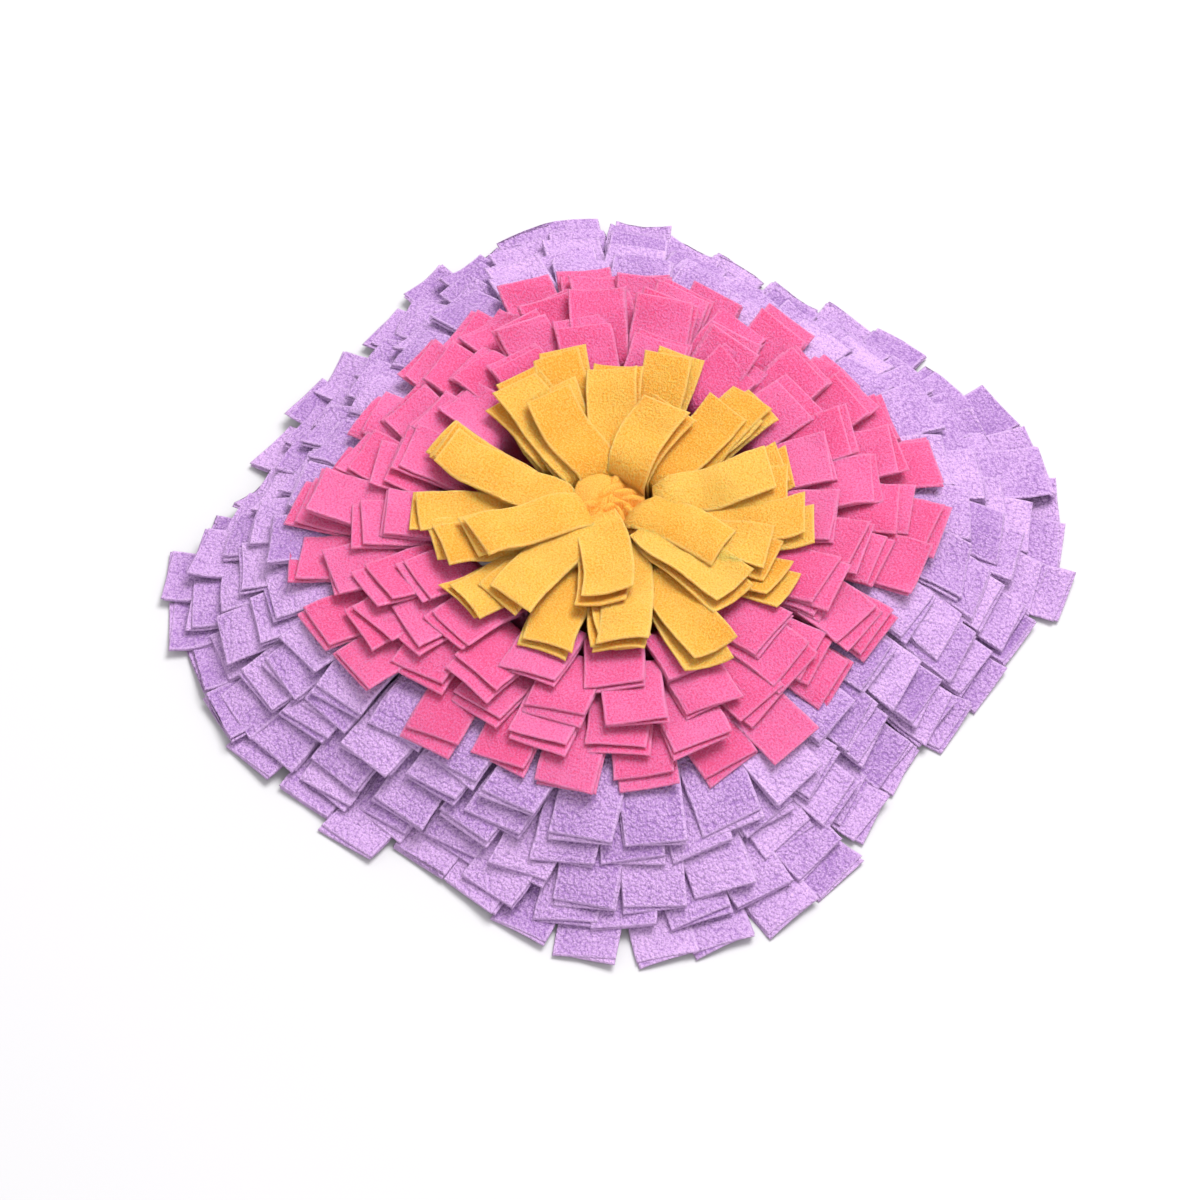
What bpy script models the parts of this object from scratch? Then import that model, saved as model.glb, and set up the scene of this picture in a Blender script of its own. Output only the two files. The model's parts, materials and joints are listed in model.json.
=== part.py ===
"""Fleece snuffle mat, lying open on a level surface.

A flat base cloth carries twelve rings of fringe, one inside the other.  Each ring is a long
fleece band, folded double, whose free edge is cut into strips.  Its uncut heading is sewn to
the base cloth standing up, and its strips bend outward over the next ring, like shingles.
The outer rings are lilac, the next ones pink, and the last three are the petals of a yellow
flower round a small wound coil.

Lengths are in metres, bearings in degrees from +X towards +Y.  The mat rests on Z = 0 and
its middle is the origin.
"""

import math
import random
from collections import namedtuple

import bmesh
import bpy
from mathutils import Vector

# ---------------------------------------------------------------- driving dimensions
BASE_THICKNESS = 0.0025
BASE_LEVEL = 0.180          # ring level, below, of the base cloth's cut edge
BASE_CORNER_STEPS = 10
SEAT_GAP = 0.0003           # between the base cloth and what is sewn to it

FLEECE = 0.003              # a folded strip: two layers of fleece
STRIP_WIDTH = 0.0315
WIDTH_SPREAD = 0.0008       # how much a strip's cut width varies, either way
HEADING_HEIGHT = 0.006
KNEE_DROP = 0.005           # where a standing strip starts to bend over, below its layer
KNEE_OUT = 0.006            # and how far out it has bent over
BEND_ROOM = 0.0025          # least distance between two bends of a strip
ROOT_CLEARANCE = 0.0012     # between neighbours where they crowd together at a corner
CLEARANCE_GROWTH = 0.05     # added for each metre out from the root
LAYER_PITCH = 0.0050        # rise from one ring's strips to the next ring's on top

# A ring's level is half its mean width.  Its sides are straight for CORE_SLOPE times the level
# past CORE_START, either way from the middle, and its corners are arcs.
CORE_START = 0.112
CORE_SLOPE = 0.71
CORE_SHARE_X = 0.90
CORE_SHARE_Y = 1.10

LEAN_SWING = 4.0            # slow swing of the strips' direction along a ring
LEAN_WAVES = 2
LEAN_SPREAD = 1.8           # and each strip's own part
REACH_SPREAD = 0.0045

COIL_INNER, COIL_OUTER = 0.0030, 0.0115
COIL_TURNS = 2.0
COIL_STEPS = 12             # for each turn
COIL_TOP = 0.055
COIL_TOP_WAVE = 0.003
COIL_WAVES = 3
COIL_FALL = 0.006           # from the coil's middle to its outer turn

# Height of the lowest layer over the surface, along the level.  Ring n lies n pitches higher.
MoundPoint = namedtuple("MoundPoint", "level height")
MOUND = (
    MoundPoint(0.000, 0.0100),
    MoundPoint(0.060, 0.0135),
    MoundPoint(0.130, 0.0250),
    MoundPoint(0.165, 0.0215),
    MoundPoint(0.212, FLEECE / 2),
    MoundPoint(0.300, FLEECE / 2),
)

# How much further than its ring's level a strip of the outermost ring reaches, by bearing.
Bulge = namedtuple("Bulge", "bearing extra")
OUTLINE = (
    Bulge(0, -0.001),
    Bulge(36, 0.003),
    Bulge(48, -0.005),
    Bulge(70, -0.010),
    Bulge(90, -0.009),
    Bulge(115, -0.014),
    Bulge(128, 0.000),
    Bulge(145, -0.006),
    Bulge(175, 0.000),
    Bulge(200, -0.006),
    Bulge(220, 0.004),
    Bulge(234, -0.012),
    Bulge(266, 0.001),
    Bulge(288, -0.010),
    Bulge(312, 0.003),
    Bulge(340, -0.001),
)
OUTLINE_FADE = 0.150        # level where the rings no longer follow the outline's bulges

Ring = namedtuple("Ring", "name colour strips tip root first")
RINGS = (
    Ring("lilac_ring_1", "lilac", 42, 0.2250, 0.170, 0.30),
    Ring("lilac_ring_2", "lilac", 39, 0.2135, 0.159, 0.75),
    Ring("lilac_ring_3", "lilac", 36, 0.2020, 0.148, 0.20),
    Ring("lilac_ring_4", "lilac", 33, 0.1910, 0.138, 0.60),
    Ring("lilac_ring_5", "lilac", 30, 0.1800, 0.128, 0.10),
    Ring("pink_ring_1", "pink", 26, 0.1660, 0.117, 0.45),
    Ring("pink_ring_2", "pink", 24, 0.1520, 0.105, 0.80),
    Ring("pink_ring_3", "pink", 20, 0.1385, 0.093, 0.25),
    Ring("pink_ring_4", "pink", 17, 0.1250, 0.081, 0.65),
)

# The flower's petals, by where each tip lies.  Their roots are spread evenly round the heading.
Petal = namedtuple("Petal", "bearing reach")
FlowerRing = namedtuple("FlowerRing", "name root petals")
FLOWER = (
    FlowerRing("yellow_ring_1", 0.056, (
        Petal(2, 0.110),
        Petal(26, 0.107),
        Petal(51, 0.096),
        Petal(76, 0.101),
        Petal(107, 0.102),
        Petal(143, 0.107),
        Petal(169, 0.094),
        Petal(195, 0.104),
        Petal(224, 0.115),
        Petal(256, 0.113),
        Petal(285, 0.111),
        Petal(308, 0.100),
        Petal(331, 0.120),
    )),
    FlowerRing("yellow_ring_2", 0.038, (
        Petal(15, 0.097),
        Petal(43, 0.090),
        Petal(76, 0.090),
        Petal(125, 0.085),
        Petal(163, 0.095),
        Petal(197, 0.098),
        Petal(235, 0.104),
        Petal(267, 0.098),
        Petal(307, 0.102),
        Petal(349, 0.096),
    )),
    FlowerRing("yellow_ring_3", 0.017, (
        Petal(359, 0.074),
        Petal(94, 0.064),
        Petal(153, 0.080),
        Petal(241, 0.086),
        Petal(301, 0.077),
    )),
)
PETAL_ROOT_SHARE = 0.88     # of the room round the heading that the petals' roots take
PETAL_SPREAD_OUT = 0.030    # distance over which a petal opens to its full width

COLOURS = {
    "lilac": (0.578, 0.376, 0.831),
    "pink": (0.956, 0.141, 0.376),
    "yellow": (0.982, 0.610, 0.114),
    "white": (0.752, 0.730, 0.752),
}
FLEECE_ROUGHNESS = 0.95

Strip = namedtuple("Strip", "root tip width_at")


# ---------------------------------------------------------------- plan and layers
def between(value, points):
    """Read a table of (position, amount) rows, in straight lines between its rows."""
    for low, high in zip(points, points[1:]):
        if value <= high[0]:
            share = (value - low[0]) / (high[0] - low[0])
            return low[1] + max(0.0, share) * (high[1] - low[1])
    return points[-1][1]


def core_of(level):
    """Half-sizes of the rectangle round which the ring of this level is drawn."""
    half = max(0.0, CORE_SLOPE * (level - CORE_START))
    return CORE_SHARE_X * half, CORE_SHARE_Y * half, level - half


def level_at(x, y):
    """The level of the ring that passes through a point."""
    low, high = 0.0, 0.4
    for _ in range(24):
        level = (low + high) / 2
        core_x, core_y, radius = core_of(level)
        away = math.hypot(max(0.0, abs(x) - core_x), max(0.0, abs(y) - core_y))
        if away > radius:
            low = level
        else:
            high = level
    return high


def ring_point(level, share, radius):
    """Point at this share of the way round a ring's outer line, brought to a corner radius,
    and the outward direction there."""
    core_x, core_y, tip_radius = core_of(level)
    arc = tip_radius * math.pi / 2
    legs = (core_y, arc, 2 * core_x, arc, 2 * core_y, arc, 2 * core_x, arc, core_y)
    corners = ((core_x, core_y), (-core_x, core_y), (-core_x, -core_y), (core_x, -core_y))
    walk = (share % 1.0) * sum(legs)
    leg = 0
    while walk > legs[leg] and leg < len(legs) - 1:
        walk -= legs[leg]
        leg += 1
    if leg % 2:
        turn = math.radians(90 * (leg // 2)) + walk / tip_radius
        centre = Vector(corners[leg // 2])
    else:
        turn = math.radians(90 * (leg // 2))
        start = Vector(corners[leg // 2 - 1]) if leg else Vector((core_x, 0.0))
        centre = start + walk * Vector((-math.sin(turn), math.cos(turn)))
    outward = Vector((math.cos(turn), math.sin(turn)))
    return centre + outward * radius, outward


def layer_height(layer, point):
    return between(level_at(point.x, point.y), MOUND) + layer * LAYER_PITCH


def outline_extra(point, level):
    """What the mat's uneven outline adds to the reach of a strip of this level."""
    bearing = math.degrees(math.atan2(point.y, point.x)) % 360
    first = Bulge(OUTLINE[0].bearing + 360, OUTLINE[0].extra)
    share = max(0.0, level - OUTLINE_FADE) / (RINGS[0].tip - OUTLINE_FADE)
    return share * between(bearing, OUTLINE + (first,))


# ---------------------------------------------------------------- strips of a ring
def ring_strips(ring, chance):
    """Root, tip and width of each strip of a rounded-square ring, in order round it."""
    root_radius = core_of(ring.tip)[2] - (ring.tip - ring.root)
    strips = []
    for number in range(ring.strips):
        share = (number + ring.first) / ring.strips
        root, outward = ring_point(ring.tip, share, root_radius)
        swing = LEAN_SWING * math.sin(math.tau * (LEAN_WAVES * share + ring.first))
        lean = math.radians(swing + chance.uniform(-LEAN_SPREAD, LEAN_SPREAD))
        reach = ring.tip - ring.root + chance.uniform(-REACH_SPREAD, REACH_SPREAD)
        reach += outline_extra(root, ring.tip)
        width = STRIP_WIDTH + chance.uniform(-WIDTH_SPREAD, WIDTH_SPREAD)
        sideways = Vector((-outward.y, outward.x)) * reach * math.tan(lean)
        tip = root + outward * reach + sideways

        def width_at(distance, share=share, width=width):
            spot, _ = ring_point(ring.tip, share, root_radius + distance)
            room = min(
                (ring_point(ring.tip, share + step, root_radius + distance)[0] - spot).length
                for step in (-1 / ring.strips, 1 / ring.strips)
            )
            return min(width, room - ROOT_CLEARANCE - CLEARANCE_GROWTH * distance)

        strips.append(Strip(root, tip, width_at))
    return strips


def on_circle(bearing, radius):
    turn = math.radians(bearing)
    return Vector((math.cos(turn), math.sin(turn))) * radius


def flower_strips(ring, chance):
    """Root, tip and width of each petal of a flower ring."""
    root_width = PETAL_ROOT_SHARE * math.tau * ring.root / len(ring.petals)
    strips = []
    for number, petal in enumerate(ring.petals):
        even = ring.petals[0].bearing + 360 * number / len(ring.petals)
        root = on_circle(even, ring.root)
        width = STRIP_WIDTH + chance.uniform(-WIDTH_SPREAD, WIDTH_SPREAD)

        def width_at(distance, width=width):
            opened = min(1.0, distance / PETAL_SPREAD_OUT)
            return min(width, root_width + (width - root_width) * opened)

        strips.append(Strip(root, on_circle(petal.bearing, petal.reach), width_at))
    return strips


def stations(strip, layer):
    """Distances out from the root, and drops below the layer, of a strip's cross lines."""
    direction = strip.tip - strip.root
    length = direction.length
    direction.normalize()
    bends = []
    steps = 40
    for number in range(1, steps):
        distance = length * number / steps
        before = strip.root + direction * (distance - length / steps)
        after = strip.root + direction * distance
        for point in MOUND:
            if level_at(*before) < point.level <= level_at(*after):
                bends.append(distance)
    inside = [d for d in bends if KNEE_OUT + BEND_ROOM < d < length - BEND_ROOM]
    return [(0.0, KNEE_DROP), (KNEE_OUT, 0.0)] + [(d, 0.0) for d in inside] + [(length, 0.0)]


def comb_mesh(name, strips, layer):
    """Open surface of a ring: the standing heading all round and the strips bent out from it."""
    foot = BASE_THICKNESS + SEAT_GAP
    shape = bmesh.new()
    feet = []
    for strip in strips:
        direction = (strip.tip - strip.root).normalized()
        side = Vector((-direction.y, direction.x))
        half = strip.width_at(0.0) / 2
        pair = [strip.root - side * half, strip.root + side * half]
        low = [shape.verts.new((*spot, foot)) for spot in pair]
        line = [shape.verts.new((*spot, foot + HEADING_HEIGHT)) for spot in pair]
        feet.append((low, line))
        shape.faces.new((low[0], low[1], line[1], line[0]))
        for distance, drop in stations(strip, layer):
            centre = strip.root + direction * distance
            half = strip.width_at(distance) / 2
            spots = [centre - side * half, centre + side * half]
            ahead = [
                shape.verts.new((*spot, layer_height(layer, spot) - drop)) for spot in spots
            ]
            shape.faces.new((line[0], line[1], ahead[1], ahead[0]))
            line = ahead
    for (low, line), (next_low, next_line) in zip(feet, feet[1:] + feet[:1]):
        shape.faces.new((low[1], next_low[0], next_line[0], line[1]))
    bmesh.ops.recalc_face_normals(shape, faces=shape.faces)
    mesh = bpy.data.meshes.new(name)
    shape.to_mesh(mesh)
    shape.free()
    return mesh


# ---------------------------------------------------------------- objects
def clear_scene():
    for item in list(bpy.data.objects):
        bpy.data.objects.remove(item, do_unlink=True)


def fleece_material(name):
    material = bpy.data.materials.new(name + "_fleece")
    material.use_nodes = True
    shader = material.node_tree.nodes["Principled BSDF"]
    shader.inputs["Base Color"].default_value = (*COLOURS[name], 1.0)
    shader.inputs["Roughness"].default_value = FLEECE_ROUGHNESS
    shader.inputs["Metallic"].default_value = 0.0
    material.diffuse_color = (*COLOURS[name], 1.0)
    return material


def add_object(name, data, material, collection):
    item = bpy.data.objects.new(name, data)
    item.data.materials.append(material)
    collection.objects.link(item)
    return item


def give_thickness(item):
    solid = item.modifiers.new("Thickness", "SOLIDIFY")
    solid.thickness = FLEECE
    solid.offset = 0.0
    solid.use_even_offset = True


def base_cloth(material, collection):
    """Flat cloth with arc corners, its underside on Z = 0."""
    core_x, core_y, radius = core_of(BASE_LEVEL)
    outline = []
    for quarter, (x, y) in enumerate(((1, 1), (-1, 1), (-1, -1), (1, -1))):
        for step in range(BASE_CORNER_STEPS + 1):
            spot = on_circle(90 * (quarter + step / BASE_CORNER_STEPS), radius)
            outline.append((x * core_x + spot.x, y * core_y + spot.y))
    curve = bpy.data.curves.new("base_cloth", "CURVE")
    curve.dimensions = "2D"
    curve.fill_mode = "BOTH"
    curve.extrude = BASE_THICKNESS / 2
    spline = curve.splines.new("POLY")
    spline.points.add(len(outline) - 1)
    for point, (x, y) in zip(spline.points, outline):
        point.co = (x, y, 0.0, 1.0)
    spline.use_cyclic_u = True
    item = add_object("base_cloth", curve, material, collection)
    item.location.z = BASE_THICKNESS / 2


def centre_coil(material, collection):
    """The last band, wound up on its edge in the middle of the flower."""
    foot = BASE_THICKNESS + SEAT_GAP
    count = round(COIL_TURNS * COIL_STEPS)
    shape = bmesh.new()
    line = None
    for number in range(count + 1):
        share = number / count
        spot = on_circle(360 * COIL_TURNS * share, COIL_INNER + share * (COIL_OUTER - COIL_INNER))
        top = COIL_TOP + COIL_TOP_WAVE * math.sin(COIL_WAVES * math.tau * share) - COIL_FALL * share
        ahead = [shape.verts.new((*spot, foot)), shape.verts.new((*spot, top))]
        if line:
            shape.faces.new((line[0], ahead[0], ahead[1], line[1]))
        line = ahead
    mesh = bpy.data.meshes.new("centre_coil")
    shape.to_mesh(mesh)
    shape.free()
    give_thickness(add_object("centre_coil", mesh, material, collection))


def main():
    clear_scene()
    collection = bpy.data.collections.new("snuffle_mat")
    bpy.context.scene.collection.children.link(collection)
    fleece = {name: fleece_material(name) for name in COLOURS}
    base_cloth(fleece["white"], collection)
    for layer, ring in enumerate(RINGS):
        strips = ring_strips(ring, random.Random(layer))
        mesh = comb_mesh(ring.name, strips, layer)
        give_thickness(add_object(ring.name, mesh, fleece[ring.colour], collection))
    for layer, ring in enumerate(FLOWER, start=len(RINGS)):
        strips = flower_strips(ring, random.Random(layer))
        mesh = comb_mesh(ring.name, strips, layer)
        give_thickness(add_object(ring.name, mesh, fleece["yellow"], collection))
    centre_coil(fleece["yellow"], collection)


main()
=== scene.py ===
"""Looks of the fleece snuffle mat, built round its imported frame.

Rings of fleece strips lie outward over one another like shingles, lilac outside and pink
inside, round a loose yellow flower with a knotted middle.  Every strip is folded double, so it
shows two plies with their own cut edges.

Lengths are in metres, bearings in degrees from +X towards +Y.
"""

import functools
import json
import math
import random
from collections import namedtuple

import bmesh
import bpy
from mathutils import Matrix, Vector

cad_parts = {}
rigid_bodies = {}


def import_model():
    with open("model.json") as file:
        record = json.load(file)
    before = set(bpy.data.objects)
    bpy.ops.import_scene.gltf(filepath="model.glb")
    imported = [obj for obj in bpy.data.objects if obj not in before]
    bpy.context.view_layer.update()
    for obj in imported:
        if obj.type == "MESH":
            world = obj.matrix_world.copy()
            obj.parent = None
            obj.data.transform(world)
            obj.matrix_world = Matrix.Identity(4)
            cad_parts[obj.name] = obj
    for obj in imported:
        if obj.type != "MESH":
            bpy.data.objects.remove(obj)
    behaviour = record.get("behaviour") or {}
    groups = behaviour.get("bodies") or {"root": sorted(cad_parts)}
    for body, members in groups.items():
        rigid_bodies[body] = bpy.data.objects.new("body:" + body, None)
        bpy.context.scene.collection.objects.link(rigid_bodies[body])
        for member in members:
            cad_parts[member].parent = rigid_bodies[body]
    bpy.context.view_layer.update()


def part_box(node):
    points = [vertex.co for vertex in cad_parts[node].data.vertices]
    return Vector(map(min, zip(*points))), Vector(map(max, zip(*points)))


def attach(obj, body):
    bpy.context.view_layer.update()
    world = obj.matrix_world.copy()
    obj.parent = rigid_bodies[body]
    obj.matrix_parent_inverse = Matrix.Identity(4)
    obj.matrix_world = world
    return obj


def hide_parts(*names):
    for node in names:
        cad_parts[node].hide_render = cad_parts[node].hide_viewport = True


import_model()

bl_info = {
    "name": "Snuffle mat",
    "version": (1, 0, 0),
    "blender": (4, 5, 0),
    "location": "View3D > Sidebar > Snuffle mat",
    "description": "Fleece snuffle mat of rows of strips round a loose flower",
    "category": "Add Mesh",
}

# ---- Layout, as in the part.  A ring's level is how far its tips lie from the middle.
QUARTERS = ((1, 1), (-1, 1), (-1, -1), (1, -1))
BASE_LEVEL = 0.180
BASE_CORNER_STEPS = 10
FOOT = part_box("base_cloth")[1][2] + 0.0003   # where the headings stand on the base cloth
FLEECE = 0.003
STRIP_WIDTH = 0.0315
WIDTH_SPREAD = 0.0008
SHEET_TOP = 0.0024
SHEET_UNDERSIDE = 0.0004
SHEET_LOOPS = (0.35, 0.7, 0.93, 0.997)      # shares of the base sheet's outline
SEAM_HEIGHT = 0.00045
HEADING_HEIGHT = 0.006
KNEE_DROP = 0.005
LAYER_PITCH = 0.005

CORE_START = 0.112          # rings within this level are circles
CORE_SLOPE = 0.71
CORE_SHARE_X = 0.90
CORE_SHARE_Y = 1.10

LEVEL_HALVINGS = 24         # how closely a point's level is searched for
RING_LINE_STEPS, FLOWER_LINE_STEPS = 96, 48

LEAN_SWING = 4.0
LEAN_WAVES = 2
LEAN_SPREAD = 1.8
REACH_SPREAD = 0.0045

# Level and the height of the lowest layer there, and how far either way that is softened.
MOUND = (
    (0.0, 0.0100), (0.060, 0.0135), (0.130, 0.0250), (0.165, 0.0215),
    (0.212, FLEECE / 2), (0.300, FLEECE / 2),
)
MOUND_SOFTENING = 0.008

# Bearing and how far strips reach past their ring there: the outermost ones, and the pink.
OUTLINE = (
    (0, -0.001), (36, 0.003), (48, -0.005), (70, -0.010), (90, -0.009), (115, -0.014),
    (128, 0.0), (132, -0.004), (138, -0.016), (145, -0.006), (175, 0.0), (202, -0.006),
    (208, -0.016), (214, -0.016), (220, 0.002), (234, -0.012), (266, 0.001), (288, -0.010),
    (312, 0.003), (340, -0.001), (360, -0.001),
)
OUTLINE_FADE = 0.150        # the level from which inward the outline is even
PINK_OUTLINE = (
    (0, 0.0), (45, -0.002), (70, -0.005), (110, -0.005), (125, -0.003), (145, -0.008),
    (195, -0.008), (215, 0.0), (360, 0.0),
)

Ring = namedtuple("Ring", "name colour strips tip root first")
RINGS = (
    Ring("lilac_ring_1", "lilac", 42, 0.2250, 0.170, 0.30),
    Ring("lilac_ring_2", "lilac", 39, 0.2135, 0.159, 0.30),
    Ring("lilac_ring_3", "lilac", 36, 0.2020, 0.148, 0.20),
    Ring("lilac_ring_4", "lilac", 33, 0.1910, 0.138, 0.26),
    Ring("lilac_ring_5", "lilac", 30, 0.1800, 0.128, 0.10),
    Ring("pink_ring_1", "pink", 26, 0.1660, 0.117, 0.45),
    Ring("pink_ring_2", "pink", 24, 0.1520, 0.105, 0.42),
    Ring("pink_ring_3", "pink", 20, 0.1385, 0.093, 0.25),
    Ring("pink_ring_4", "pink", 17, 0.1250, 0.081, 0.36),
)

# The flower's petals: middle of the tip, the way the petal points there, how far the tip
# stands off its layer, the depth of its waves, the gap between its two plies and how far
# apart they are turned, in degrees.
Petal = namedtuple("Petal", "x y axis lift wave gap fan")

# Each ring of petals: its radius at the base cloth, a petal's width there, how far petals
# lean in towards the knot, how far the ring's middle lies aside along X, the rise of the
# petals' long waves for each unit of wave, how far they lie off the strips below, and the
# petals.
FlowerRing = namedtuple("FlowerRing", "name root neck lean_in aside arch lift petals")
FLOWER = (
    FlowerRing("yellow_ring_1", 0.056, 0.0260, 0.013, 0.0, 0.0012, 0.0022, (
        (0.110, 0.004, 4, 0.0, 0.8, 0.0020, 3),
        (0.096, 0.047, 33, 0.002, 1.6, 0.0030, 4),
        (0.062, 0.074, 50, 0.0, 1.0, 0.0020, 5),
        (0.026, 0.098, 82, 0.001, 1.2, 0.0026, 6),
        (-0.030, 0.098, 107, 0.002, 1.4, 0.0024, 7),
        (-0.086, 0.063, 143, 0.001, 1.0, 0.0022, 4),
        (-0.091, 0.018, 166, 0.0, 1.0, 0.0020, 5),
        (-0.099, -0.027, 184, 0.003, 1.4, 0.0026, 4),
        (-0.084, -0.077, 216, 0.0, 1.0, 0.0024, 3),
        (-0.025, -0.110, 258, 0.0, 1.0, 0.0020, 3),
        (0.029, -0.107, 284, 0.001, 1.2, 0.0024, 5),
        (0.061, -0.080, 308, 0.0, 1.0, 0.0020, 4),
        (0.105, -0.059, 330, 0.001, 1.4, 0.0030, 4),
    )),
    FlowerRing("yellow_ring_2", 0.036, 0.0217, 0.013, 0.0, 0.0020, 0.0015, (
        (0.096, 0.014, 13, 0.004, 2.2, 0.0034, 6),
        (0.067, 0.060, 43, 0.004, 2.2, 0.0040, 8),
        (0.020, 0.088, 80, 0.002, 1.4, 0.0026, 4),
        (-0.049, 0.069, 125, 0.002, 1.2, 0.0024, 5),
        (-0.091, 0.027, 160, 0.006, 2.2, 0.0030, 5),
        (-0.093, -0.030, 189, 0.004, 2.0, 0.0030, 5),
        (-0.058, -0.086, 231, 0.001, 1.2, 0.0026, 5),
        (-0.005, -0.098, 268, 0.002, 1.6, 0.0034, 4),
        (0.061, -0.082, 303, 0.002, 1.6, 0.0036, 4),
        (0.094, -0.020, 350, 0.001, 1.6, 0.0028, 7),
    )),
    FlowerRing("yellow_ring_3", 0.0165, 0.0275, -0.001, -0.005, 0.0026, 0.0008, (
        (0.072, -0.002, 359, 0.001, 1.4, 0.0030, 5),
        (-0.006, 0.063, 92, 0.005, 2.0, 0.0036, 4),
        (-0.070, 0.035, 155, 0.003, 1.4, 0.0030, 5),
        (-0.041, -0.076, 242, 0.003, 1.6, 0.0034, 4),
        (0.039, -0.065, 312, 0.003, 1.2, 0.0030, 4),
    )),
)
PETAL_SPREAD_OUT = 0.012    # how far out a petal has its full width

# ---- How the plies lie
PLY_OFFSET = 0.0009         # either way from the middle of the folded strip
ROOT_GAP = 0.0008           # a ply starts this far up its heading
GUIDE_STEP = 0.012          # between the points that a ply follows over its layer
WALL_STEP = 0.014           # and up its root
WALL_LEAN = 0.0012          # how far out it has gone when it comes to its knee
KNEE_REACH = 0.0055
KNEE_SINK = 0.0006
LOWEST = 0.0008             # least height of a ply's middle over the floor
ARCH_LENGTH = 0.042
TUCK_BENDS = (45, 90, 135, 180)

# How the strips of each colour lie: width over the strip's own, turn, the roll by which one
# edge laps over the next strip, how much the reach varies, the rise and depth of long and
# short waves, how far most tips hang below their layer and how much some lift off it, and how
# much painted shade darkens each strip towards its root, where the layers above shade it.
Habit = namedtuple("Habit", "wide turn roll reach arch wave drop lift root_shade")
HABITS = {
    "lilac": Habit(1.10, 1.8, 4.6, 0.0020, 0.0010, 0.8, 0.0014, 0.0016, 0.8),
    "pink": Habit(1.06, 3.6, 5.4, 0.0035, 0.0022, 1.3, 0.0006, 0.0024, 1.4),
    "yellow": Habit(0.90, 0.0, 0.0, 0.0, 0.0, 1.5, 0.0, 0.0, 1.5),
}

# How far the upper and lower ply reach past the strip's own length, how much that varies,
# how far they are turned at random, and the gap between them.
Fold = namedtuple("Fold", "upper lower spread turn gap")
FOLDS = {
    "lilac": Fold(0.0002, 0.0012, 0.0013, 1.2, 0.0),
    "pink": Fold(-0.0010, 0.0026, 0.0028, 2.6, 0.0004),
    "yellow": Fold(-0.0012, 0.0026, 0.0022, 2.2, 0.0),
}

# Bearing and how loosely the strips lie there: on the far left they curl and twist more.
LOOSENESS = (
    (0, 0.15), (60, 0.35), (100, 0.80), (150, 1.00), (190, 0.70), (230, 0.50),
    (265, 0.05), (330, 0.05), (360, 0.15),
)
# Strips whose ends turn down and under: the layer, the bearing and how far either way of it,
# how far the strip reaches past its neighbours, its lift and the radius of the turn.
Tuck = namedtuple("Tuck", "layer bearing within past lift radius")
TUCKS = (Tuck(1, 51, 4.4, 0.012, 0.0055, 0.0042),)

RISE_SPREAD = 0.0009
PETAL_RISE = 0.0014         # petals of a ring lie over and under their neighbours in turn
ROLL_SPREAD = 2.0
SKEW_SPREAD = 0.11
CURL_SPREAD = 0.0012
STRIP_BOW = 0.0012          # how far a strip or petal bends sideways at its middle
PETAL_BOW = 0.0042
PETAL_ROLL_SPREAD = 5.0
PETAL_CURL_SPREAD = 0.0024
MOST_LIFTED = 1.5           # no tip lifts by more than this many times the usual
PRESSED = 0.3               # share of their play left to the strips under the flower
STRIP_CHANCE, PLY_CHANCE, PETAL_CHANCE = 0, 100, 200    # first seeds of the random draws
SEEDS = 50.0
PLY_SEED_STEP = 0.03

BLOCK_STATIONS, BLOCK_COLUMNS, BLOCK_ROWS = 19, 9, 3
STATION_CROWDING = 1.6      # past 1, a ply has more of its stations near the tip

PLY_VALUES = ("half_width", "offset", "curl", "skew", "length", "wave", "seed")
Strip = namedtuple("Strip", "root tip width_at")
Lie = namedtuple(
    "Lie", "roll lift rise curl arch wave bow seed wide turn lean_in tuck", defaults=(0.0, 0.0, 0.0)
)
Ply = namedtuple("Ply", ("spots", "sides", *PLY_VALUES))


def between(value, points):
    """Read a table of (position, amount) rows, in straight lines between its rows."""
    for low, high in zip(points, points[1:]):
        if value <= high[0]:
            share = (value - low[0]) / (high[0] - low[0])
            return low[1] + max(0.0, share) * (high[1] - low[1])
    return points[-1][1]


def either_way(chance, most):
    return chance.uniform(-most, most)


def on_circle(bearing, radius):
    turn = math.radians(bearing)
    return Vector((math.cos(turn), math.sin(turn))) * radius


def bearing_of(point):
    return math.degrees(math.atan2(point.y, point.x)) % 360


def core_of(level):
    """Half-sizes of the rectangle round which the ring of this level is drawn, and how far
    from it."""
    half = max(0.0, CORE_SLOPE * (level - CORE_START))
    return CORE_SHARE_X * half, CORE_SHARE_Y * half, level - half


def level_at(x, y):
    """The level of the ring that passes through a point."""
    low, high = 0.0, 0.4
    for _ in range(LEVEL_HALVINGS):
        level = (low + high) / 2
        core_x, core_y, radius = core_of(level)
        away = math.hypot(max(0.0, abs(x) - core_x), max(0.0, abs(y) - core_y))
        if away > radius:
            low = level
        else:
            high = level
    return high


def ring_point(level, share, radius):
    """Point at this share of the way round a ring's outer line, brought to a corner radius,
    and the outward direction there."""
    core_x, core_y, tip_radius = core_of(level)
    arc = tip_radius * math.pi / 2
    legs = (core_y, arc, 2 * core_x, arc, 2 * core_y, arc, 2 * core_x, arc, core_y)
    corners = [(x * core_x, y * core_y) for x, y in QUARTERS]
    walk = (share % 1.0) * sum(legs)
    leg = 0
    while walk > legs[leg] and leg < len(legs) - 1:
        walk -= legs[leg]
        leg += 1
    turn = math.radians(90 * (leg // 2))
    if leg % 2:
        turn += walk / tip_radius
        centre = Vector(corners[leg // 2])
    else:
        start = Vector(corners[leg // 2 - 1]) if leg else Vector((core_x, 0.0))
        centre = start + walk * Vector((-math.sin(turn), math.cos(turn)))
    outward = Vector((math.cos(turn), math.sin(turn)))
    return centre + outward * radius, outward


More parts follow.
